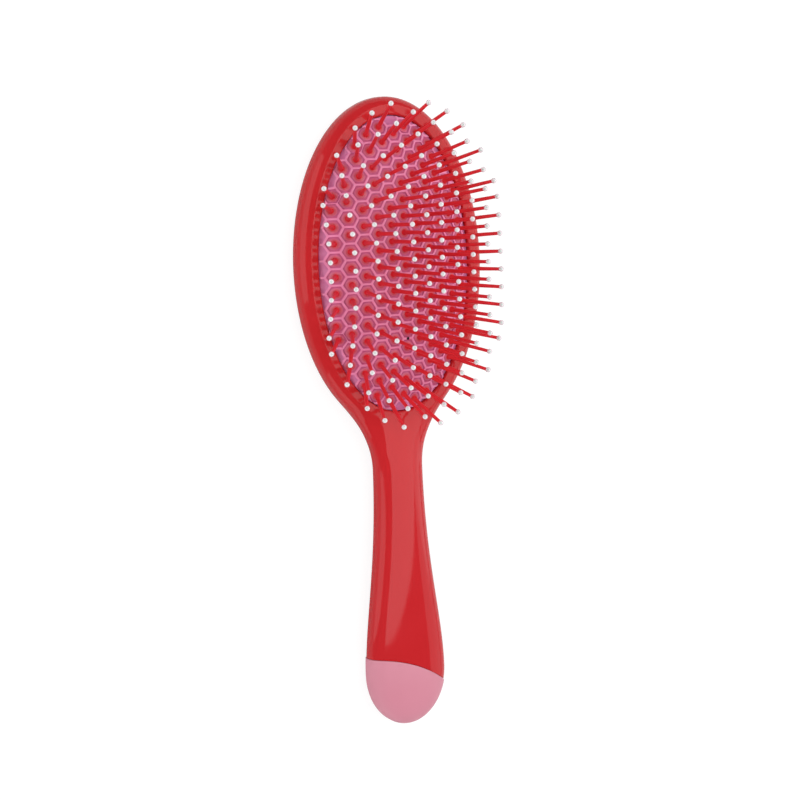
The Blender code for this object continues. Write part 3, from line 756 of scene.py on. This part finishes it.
def lay_cells():
    """Covers the opening with cells, those that hold a pin with its hole."""
    pinned = make_cell("pinned_cell", True)
    plain = make_cell("plain_cell", False)
    cells = []
    for column in range(-1, COLUMN_COUNT + 1):
        for x, y in lattice_column(column):
            if reach_of(x, y) < 1 + PIN_PITCH / PAD_HALF_WIDTH:
                kept = 0 <= column < COLUMN_COUNT and reach_of(x, y) < KEPT_SHARE
                model = pinned if kept else plain
                cells.append(copy_to(model, Matrix.Translation((x, y, 0.0))))
    bpy.data.objects.remove(pinned)
    bpy.data.objects.remove(plain)
    return join_pieces("cushion_skin", cells)


def open_vent(skin):
    """Opens the small round hole that lets air out, in a level spot in the middle of a ridge."""
    middle = Vector((0.0, VENT_Y, RIDGE_RISE))
    with open_mesh(skin) as bm:
        gone = [vert for vert in bm.verts if (vert.co - middle).length < VENT_LAND_RADIUS]
        bmesh.ops.delete(bm, geom=gone, context="VERTS")
        border = [edge for edge in bm.edges if edge.is_boundary
                  and all((vert.co - middle).length < 2 * VENT_LAND_RADIUS for vert in edge.verts)]
        for edge in border:
            for vert in edge.verts:
                vert.co.z = middle.z
        for vert in points_among(bmesh.ops.extrude_edge_only(bm, edges=border)["geom"]):
            vert.co = middle + (vert.co - middle).normalized() * VENT_RADIUS


def draw_cells_in(skin):
    """Moves the cells near the border with their pins, and those between in proportion."""
    moves = []
    for column in range(COLUMN_COUNT):
        for x, y in kept_places(column):
            pin_x, pin_y = drawn_in(x, y)
            moves.append((Vector((x, y, 0.0)), Vector((pin_x - x, pin_y - y, 0.0))))
    tree = KDTree(len(moves))
    for index, (place, _) in enumerate(moves):
        tree.insert(place, index)
    tree.balance()
    softness = PIN_PITCH / 3
    for vert in skin.data.vertices:
        near = tree.find_n(Vector((vert.co.x, vert.co.y, 0.0)), NEAREST_PINS)
        closest = near[0][2]
        shares = [exp((closest ** 2 - distance ** 2) / softness ** 2) for _, _, distance in near]
        shift = Vector((0.0, 0.0, 0.0))
        for share, (_, index, _) in zip(shares, near):
            shift += moves[index][1] * share / sum(shares)
        vert.co += shift


def trim_to_oval(skin):
    """Cuts the cells off along the border, one short straight cut after another."""
    with open_mesh(skin) as bm:
        for step in range(BORDER_PLANES):
            angle = 2 * pi * step / BORDER_PLANES
            point = (CUSHION_HALF_WIDTH * cos(angle), CUSHION_HALF_LENGTH * sin(angle), 0.0)
            normal = (cos(angle) / CUSHION_HALF_WIDTH, sin(angle) / CUSHION_HALF_LENGTH, 0.0)
            bmesh.ops.bisect_plane(bm, geom=bm.verts[:] + bm.edges[:] + bm.faces[:], dist=MERGE,
                                   plane_co=point, plane_no=normal, clear_outer=True)


def raise_crown(skin):
    """Lays the skin on the crown, and raises its border to the lip's rounded edge."""
    border_rise = CROWN_BELOW_LIP - LIP_ROUNDING
    for vert in skin.data.vertices:
        share = (reach_of(vert.co.x, vert.co.y) - BORDER_RISE_FROM) / (1 - BORDER_RISE_FROM)
        share = min(1.0, max(0.0, share))
        vert.co.z += crown_height(vert.co.x, vert.co.y) + border_rise * share * share


def draw_skirt_and_flange(skin):
    """Drops the border inside the lip, and turns it out under the lip."""
    with open_mesh(skin) as bm:
        border = [edge for edge in bm.edges if edge.is_boundary
                  and all(reach_of(vert.co.x, vert.co.y) > BORDER_SHARE + GAP / PIN_PITCH
                          for vert in edge.verts)]
        for outward in (0.0, FLANGE_WIDTH):
            drawn = bmesh.ops.extrude_edge_only(bm, edges=border)["geom"]
            border = [item for item in drawn if isinstance(item, bmesh.types.BMEdge)]
            for vert in points_among(drawn):
                vert.co.z = FLANGE_TOP
                vert.co.x *= 1 + outward / CUSHION_HALF_WIDTH
                vert.co.y *= 1 + outward / CUSHION_HALF_LENGTH


def make_cushion(material):
    cushion = lay_cells()
    merge_and_turn_out(cushion)
    open_vent(cushion)
    draw_cells_in(cushion)
    trim_to_oval(cushion)
    raise_crown(cushion)
    draw_skirt_and_flange(cushion)
    merge_and_turn_out(cushion)
    if sum(face.normal.z * face.area for face in cushion.data.polygons) < 0:
        cushion.data.flip_normals()
    add_wall(cushion, MEMBRANE, even=False)
    apply_modifiers(cushion)
    cushion.name = "honeycomb_cushion"
    settle(cushion, material, RUBBER_SMOOTHING)
    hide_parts("cushion")
    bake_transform(cushion)


def make_pin():
    """One pin standing on the origin: a flared root that narrows to a slender tapered shaft."""
    bpy.ops.mesh.primitive_circle_add(vertices=PIN_SIDES, radius=ROOT_RADIUS, fill_type="NGON",
                                      location=(0.0, 0.0, -MEMBRANE), enter_editmode=True)
    bpy.ops.mesh.select_all(action="SELECT")
    flare = [(ROOT_RADIUS * width, ROOT_HEIGHT * rise) for width, rise in ROOT_FLARE]
    radius, height = ROOT_RADIUS, -MEMBRANE
    for next_radius, next_height in [(ROOT_RADIUS, 0.0), *flare, (ROOT_NECK_RADIUS, ROOT_HEIGHT),
                                     (SHAFT_TOP_RADIUS, PIN_REACH)]:
        bpy.ops.mesh.extrude_region_move(
            TRANSFORM_OT_translate={"value": (0.0, 0.0, next_height - height)})
        bpy.ops.transform.resize(value=(next_radius / radius, next_radius / radius, 1.0))
        radius, height = next_radius, next_height
    bpy.ops.object.mode_set(mode="OBJECT")
    pin = bpy.context.active_object
    place_into_mesh(pin)
    return pin


def make_ball():
    """One ball tip on the end of a pin that stands on the origin."""
    bpy.ops.mesh.primitive_uv_sphere_add(segments=BALL_SEGMENTS, ring_count=BALL_RINGS,
                                         radius=BALL_RADIUS, location=(0.0, 0.0, PIN_REACH))
    ball = bpy.context.active_object
    place_into_mesh(ball)
    return ball


def make_pin_rows(pin_material, ball_material):
    """Each column's pins and their ball tips, as two pieces of one row."""
    pin = make_pin()
    ball = make_ball()
    for column in range(COLUMN_COUNT):
        stands = [crown_frame(*drawn_in(x, y)) for x, y in kept_places(column)]
        number = f"{column + 1:02d}"
        row = join_pieces(f"pins_{number}", [copy_to(pin, stand) for stand in stands])
        tips = join_pieces(f"ball_tips_{number}", [copy_to(ball, stand) for stand in stands])
        settle(row, pin_material, PIN_SMOOTHING)
        settle(tips, ball_material, BALL_SMOOTHING)
        for piece in (row, tips):
            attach(piece, "pin_field")
        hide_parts(f"pin_row_{number}")
    bpy.data.objects.remove(pin)
    bpy.data.objects.remove(ball)


def feed(tree, socket, value):
    """Links an output to the socket, or sets the socket to a plain value."""
    if isinstance(value, bpy.types.NodeSocket):
        tree.links.new(value, socket)
    else:
        socket.default_value = value


def add_node(tree, kind, **inputs):
    """A shader node with its named inputs fed."""
    node = tree.nodes.new(kind)
    for name, value in inputs.items():
        feed(tree, node.inputs[name.replace("_", " ")], value)
    return node


def add_maths(tree, kind, operation, *values):
    """A maths node for one operation, with its inputs fed in their order."""
    node = tree.nodes.new(kind)
    node.operation = operation
    for socket, value in zip(node.inputs, values):
        feed(tree, socket, value)
    return node


def mixed(tree, share, first, second):
    """A colour between two, by a share that changes over the surface."""
    mix = tree.nodes.new("ShaderNodeMix")
    mix.data_type = "RGBA"
    tree.links.new(share, mix.inputs[0])
    feed(tree, mix.inputs[6], first)
    feed(tree, mix.inputs[7], second)
    return mix.outputs[2]


def step_between(tree, value, low, high):
    """A soft step from 0 to 1 as the value passes from low to high."""
    step = add_node(tree, "ShaderNodeMapRange", Value=value, From_Min=low, From_Max=high)
    step.interpolation_type = "SMOOTHSTEP"
    return step.outputs["Result"]


def new_group(name, inputs, outputs):
    group = bpy.data.node_groups.new(name, "ShaderNodeTree")
    for label, value in inputs.items():
        socket = group.interface.new_socket(label, in_out="INPUT", socket_type="NodeSocketFloat")
        socket.default_value = value
    for label, kind in outputs.items():
        group.interface.new_socket(label, in_out="OUTPUT", socket_type=kind)
    return group, group.nodes.new("NodeGroupInput"), group.nodes.new("NodeGroupOutput")


def place_group(tree, group, **inputs):
    node = tree.nodes.new("ShaderNodeGroup")
    node.node_tree = group
    for name, value in inputs.items():
        node.inputs[name.replace("_", " ")].default_value = value
    return node


def moulding_group():
    """Fine unevenness of moulded plastic: a tone, a roughness and a slightly rippled normal."""
    group, given, result = new_group(
        "moulding",
        {"Cloud Scale": CLOUD_SCALE, "Ripple Scale": RIPPLE_SCALE, "Ripple": 0.1,
         "Roughness Low": 0.1, "Roughness High": 0.2},
        {"Tone": "NodeSocketFloat", "Roughness": "NodeSocketFloat", "Normal": "NodeSocketVector"})
    place = group.nodes.new("ShaderNodeTexCoord").outputs["Object"]
    cloud = add_node(group, "ShaderNodeTexNoise", Vector=place, Scale=given.outputs["Cloud Scale"],
                     Detail=3.0)
    ripple = add_node(group, "ShaderNodeTexNoise", Vector=place,
                      Scale=given.outputs["Ripple Scale"], Detail=2.0)
    rough = add_node(group, "ShaderNodeMapRange", Value=cloud.outputs["Fac"], From_Min=0.3,
                     From_Max=0.7, To_Min=given.outputs["Roughness Low"],
                     To_Max=given.outputs["Roughness High"])
    bump = add_node(group, "ShaderNodeBump", Strength=given.outputs["Ripple"],
                    Distance=RIPPLE_DEPTH, Height=ripple.outputs["Fac"])
    feed(group, result.inputs["Tone"], cloud.outputs["Fac"])
    feed(group, result.inputs["Roughness"], rough.outputs["Result"])
    feed(group, result.inputs["Normal"], bump.outputs["Normal"])
    return group


def cell_group():
    """Where a point lies in its honeycomb cell: how near the ridge, and how far from the pin,
    both in shares of the distance between pins, and whether the cell has a pin."""
    group, _, result = new_group("honeycomb_cell", {}, {"Edge": "NodeSocketFloat",
                                                        "Round": "NodeSocketFloat",
                                                        "Pinned": "NodeSocketFloat"})
    place = add_node(group, "ShaderNodeUVMap")
    place.uv_map = "cell"
    pinned = add_node(group, "ShaderNodeAttribute")
    pinned.attribute_name = "pinned"
    edge = None
    for angle in (radians(30), radians(90), radians(150)):
        across = add_maths(group, "ShaderNodeVectorMath", "DOT_PRODUCT", place.outputs["UV"],
                           (cos(angle), sin(angle), 0.0))
        reach = add_maths(group, "ShaderNodeMath", "ABSOLUTE", across.outputs["Value"])
        if edge:
            reach = add_maths(group, "ShaderNodeMath", "MAXIMUM", edge, reach.outputs["Value"])
        edge = reach.outputs["Value"]
    length = add_maths(group, "ShaderNodeVectorMath", "LENGTH", place.outputs["UV"])
    feed(group, result.inputs["Edge"], edge)
    feed(group, result.inputs["Round"], length.outputs["Value"])
    feed(group, result.inputs["Pinned"], pinned.outputs["Fac"])
    return group


def plastic(name, moulding, dark, light, roughness, ripple, shine):
    """A moulded plastic whose tone and roughness vary a little over the surface."""
    material = bpy.data.materials.new(name)
    material.use_nodes = True
    tree = material.node_tree
    shader = tree.nodes["Principled BSDF"]
    low, high = roughness
    detail = place_group(tree, moulding, Ripple=ripple, Roughness_Low=low, Roughness_High=high)
    tone = mixed(tree, detail.outputs["Tone"], (*dark, 1), (*light, 1))
    feed(tree, shader.inputs["Base Color"], tone)
    feed(tree, shader.inputs["Roughness"], detail.outputs["Roughness"])
    feed(tree, shader.inputs["Normal"], detail.outputs["Normal"])
    feed(tree, shader.inputs["Specular IOR Level"], shine)
    return material


def glossy_red_plastic(moulding):
    return plastic("glossy_red", moulding, dark=(0.525, 0.018, 0.022), light=(0.555, 0.022, 0.027),
                   roughness=(0.035, 0.07), ripple=0.03, shine=0.24)


def pin_red_plastic(moulding):
    return plastic("pin_red", moulding, dark=(0.71, 0.024, 0.034), light=(0.77, 0.030, 0.042),
                   roughness=(0.35, 0.45), ripple=0.1, shine=0.3)


def cap_pink_plastic(moulding):
    return plastic("cap_pink", moulding, dark=(0.64, 0.232, 0.305), light=(0.67, 0.252, 0.33),
                   roughness=(0.38, 0.48), ripple=0.15, shine=0.55)


def tip_white_plastic(moulding):
    """White ball tips, with light and shade painted by how each point faces the camera: a little
    green in the middle, a painted paler ring round it, and painted rosy shade where they turn away.
    """
    material = plastic("tip_white", moulding, dark=(0.56, 0.66, 0.62), light=(0.60, 0.70, 0.66),
                       roughness=(0.25, 0.35), ripple=0.05, shine=0.4)
    # painted light: a paler ring round the middle of each ball
    painted_light_ring = (0.87, 0.80, 0.83, 1)
    # painted shade: darker and rosy where each ball turns away from the camera
    painted_rosy_shade = (0.50, 0.34, 0.40, 1)
    tree = material.node_tree
    colour = tree.nodes["Principled BSDF"].inputs["Base Color"]
    away = add_node(tree, "ShaderNodeLayerWeight", Blend=0.5).outputs["Facing"]
    middle = colour.links[0].from_socket
    ring = mixed(tree, step_between(tree, away, 0.04, 0.20), middle, painted_light_ring)
    feed(tree, colour, mixed(tree, step_between(tree, away, 0.35, 0.85), ring, painted_rosy_shade))
    return material


def outside_vent(tree):
    """A mask that is 0 within the vent, seen from above, and 1 around it: where the vent's painted
    shade goes.
    """
    place = tree.nodes.new("ShaderNodeTexCoord").outputs["Object"]
    level = add_maths(tree, "ShaderNodeVectorMath", "MULTIPLY", place, (1.0, 1.0, 0.0))
    reach = add_maths(tree, "ShaderNodeVectorMath", "DISTANCE", level.outputs["Vector"],
                      (0.0, HEAD_CENTRE_Y + VENT_Y, 0.0))
    return step_between(tree, reach.outputs["Value"], VENT_RADIUS, VENT_RADIUS * 1.25)


def cushion_rubber(moulding, cell):
    """Pink rubber with painted light and shade: painted light on the ridges, painted shade in the
    grooves, painted red bounce light and shade round the pins, and painted shade in the vent."""
    material = plastic("pink_rubber", moulding, dark=(0.58, 0.105, 0.20), light=(0.64, 0.14, 0.25),
                       roughness=(0.36, 0.46), ripple=0.3, shine=0.55)
    # painted red bounce light and shade from the pin, on the rubber round its root
    painted_pin_bounce_red = (0.60, 0.08, 0.12, 1)
    # painted shade: the groove inside each pinned cell's ridge is a darker pink
    painted_shaded_groove_pink = (0.54, 0.10, 0.23, 1)
    plain_cell_pink = (0.61, 0.165, 0.35, 1)
    # painted light: the ridge tops are a paler pink
    painted_lit_ridge_pink = (0.80, 0.25, 0.45, 1)
    # painted shade: near black inside the vent hole
    painted_vent_shade = (0.02, 0.002, 0.005, 1)
    tree = material.node_tree
    colour = tree.nodes["Principled BSDF"].inputs["Base Color"]
    where = place_group(tree, cell)
    from_pin = step_between(tree, where.outputs["Round"], 0.22, 0.33)
    to_groove = step_between(tree, where.outputs["Round"], 0.33, 0.37)
    to_ridge = step_between(tree, where.outputs["Edge"], 0.415, 0.45)
    # painted red bounce light and shade near the pin
    boss = mixed(tree, from_pin, painted_pin_bounce_red, colour.links[0].from_socket)
    # painted shade in the groove
    groove = mixed(tree, to_groove, boss, painted_shaded_groove_pink)
    floor = mixed(tree, where.outputs["Pinned"], plain_cell_pink, groove)
    # painted light on the ridge tops
    ridge = mixed(tree, to_ridge, floor, painted_lit_ridge_pink)
    # painted shade in the vent
    feed(tree, colour, mixed(tree, outside_vent(tree), painted_vent_shade, ridge))
    return material


def add_camera():
    data = bpy.data.cameras.new("camera")
    data.sensor_width = SENSOR_WIDTH
    data.lens = LENS
    camera = bpy.data.objects.new("camera", data)
    camera.location = CAMERA_PLACE
    camera.rotation_euler = CAMERA_TURN
    bpy.context.scene.collection.objects.link(camera)
    bpy.context.scene.camera = camera


def add_lamp(name, place, aim, width, height, brightness):
    """A rectangle of plain white light, as bright as a lit surface of the given radiance."""
    data = bpy.data.lights.new(name, "AREA")
    data.shape = "RECTANGLE"
    data.size = width
    data.size_y = height
    data.energy = brightness * pi * width * height
    lamp = bpy.data.objects.new(name, data)
    lamp.location = place
    direction = Vector(aim) - Vector(place)
    lamp.rotation_euler = direction.to_track_quat("-Z", "Y").to_euler()
    bpy.context.scene.collection.objects.link(lamp)
    return lamp


def add_softbox(name, low, high, brightness):
    """A softbox between two corners. It lies level or stands square to X or Y, and faces the
    plane through the world's middle that it is parallel to."""
    spans = [(near, far) for near, far in zip(low, high) if near != far]
    width, height = [far - near for near, far in spans]
    middle = [(near + far) / 2 for near, far in zip(low, high)]
    aim = [0.0 if near == far else (near + far) / 2 for near, far in zip(low, high)]
    add_lamp(name, middle, aim, width, height, brightness)


def add_fill(name, place, size, brightness):
    """A square lamp that faces the middle of the brush and doesn't show in the gloss."""
    lamp = add_lamp(name, place, (0.0, 0.0, 0.0), size, size, brightness)
    lamp.visible_glossy = False


def light_studio():
    add_softbox("overhead_softbox", (OVERHEAD_LEFT, OVERHEAD_NEAR, OVERHEAD_HEIGHT),
                (RIGHT_X, RIGHT_FAR, OVERHEAD_HEIGHT), OVERHEAD_BRIGHTNESS)
    add_softbox("right_softbox", (RIGHT_X, OVERHEAD_NEAR, RIGHT_FOOT),
                (RIGHT_X, RIGHT_FAR, OVERHEAD_HEIGHT), RIGHT_BRIGHTNESS)
    add_softbox("dim_right_softbox", (RIGHT_X, DIM_NEAR, RIGHT_FOOT),
                (RIGHT_X, OVERHEAD_NEAR, OVERHEAD_HEIGHT), DIM_BRIGHTNESS)
    add_softbox("left_softbox", (LEFT_X, LEFT_NEAR, 0.0), (LEFT_X, LEFT_FAR, LEFT_TOP),
                LEFT_BRIGHTNESS)
    add_softbox("front_softbox", (FRONT_LEFT, FRONT_Y, 0.0), (FRONT_RIGHT, FRONT_Y, FRONT_TOP),
                FRONT_BRIGHTNESS)
    add_fill("left_fill", LEFT_FILL_PLACE, LEFT_FILL_SIZE, LEFT_FILL_BRIGHTNESS)
    add_fill("front_fill", FRONT_FILL_PLACE, FRONT_FILL_SIZE, FRONT_FILL_BRIGHTNESS)


def floor_white():
    """What the camera sees of the floor is white but for a trace of the brush's shadow, and the
    brush sees a plain pale floor."""
    material = bpy.data.materials.new("pale_floor")
    material.use_nodes = True
    tree = material.node_tree
    plain = tree.nodes["Principled BSDF"]
    feed(tree, plain.inputs["Base Color"], (0.74, 0.74, 0.74, 1))
    feed(tree, plain.inputs["Roughness"], 0.9)
    shadowed = add_node(tree, "ShaderNodeBsdfDiffuse", Color=(0.16, 0.16, 0.16, 1))
    glow = add_node(tree, "ShaderNodeEmission", Color=(1, 1, 1, 1), Strength=0.9)
    rays = tree.nodes.new("ShaderNodeLightPath")
    both = tree.nodes.new("ShaderNodeAddShader")
    choice = tree.nodes.new("ShaderNodeMixShader")
    for socket, source in ((both.inputs[0], shadowed.outputs["BSDF"]),
                           (both.inputs[1], glow.outputs["Emission"]),
                           (choice.inputs[0], rays.outputs["Is Camera Ray"]),
                           (choice.inputs[1], plain.outputs["BSDF"]),
                           (choice.inputs[2], both.outputs["Shader"]),
                           (tree.nodes["Material Output"].inputs["Surface"],
                            choice.outputs["Shader"])):
        tree.links.new(source, socket)
    return material


def add_floor(material):
    bpy.ops.mesh.primitive_plane_add(size=FLOOR_SIZE, location=(0.0, 0.0, 0.0))
    floor = bpy.context.active_object
    floor.name = "floor"
    floor.data.materials.append(material)


def light_world():
    """The room: walls that are pale low down, more so on the left, and dim above them. The
    camera sees it white."""
    world = bpy.data.worlds.new("studio")
    world.use_nodes = True
    tree = world.node_tree
    direction = tree.nodes.new("ShaderNodeTexCoord").outputs["Generated"]
    axes = add_node(tree, "ShaderNodeSeparateXYZ", Vector=direction)
    wall = add_node(tree, "ShaderNodeMapRange", Value=axes.outputs["X"], From_Min=-WALL_TURN,
                    From_Max=WALL_TURN, To_Min=LEFT_WALL_BRIGHTNESS, To_Max=RIGHT_WALL_BRIGHTNESS)
    room = add_node(tree, "ShaderNodeMapRange", Value=axes.outputs["Z"], From_Min=WALL_TOP,
                    From_Max=CEILING_EDGE, To_Min=wall.outputs["Result"],
                    To_Max=CEILING_BRIGHTNESS)
    rays = tree.nodes.new("ShaderNodeLightPath")
    seen = add_node(tree, "ShaderNodeMapRange", Value=rays.outputs["Is Camera Ray"],
                    To_Min=room.outputs["Result"], To_Max=1.0)
    background = tree.nodes["Background"]
    feed(tree, background.inputs["Color"], (1, 1, 1, 1))
    feed(tree, background.inputs["Strength"], seen.outputs["Result"])
    bpy.context.scene.world = world


moulding = moulding_group()
shell_red = glossy_red_plastic(moulding)

add_camera()
light_world()
light_studio()
add_floor(floor_white())
make_front_shell(shell_red)
make_back_shell(shell_red)
make_end_cap(cap_pink_plastic(moulding))
make_cushion(cushion_rubber(moulding, cell_group()))
make_pin_rows(pin_red_plastic(moulding), tip_white_plastic(moulding))

bpy.context.scene.view_settings.view_transform = "Standard"
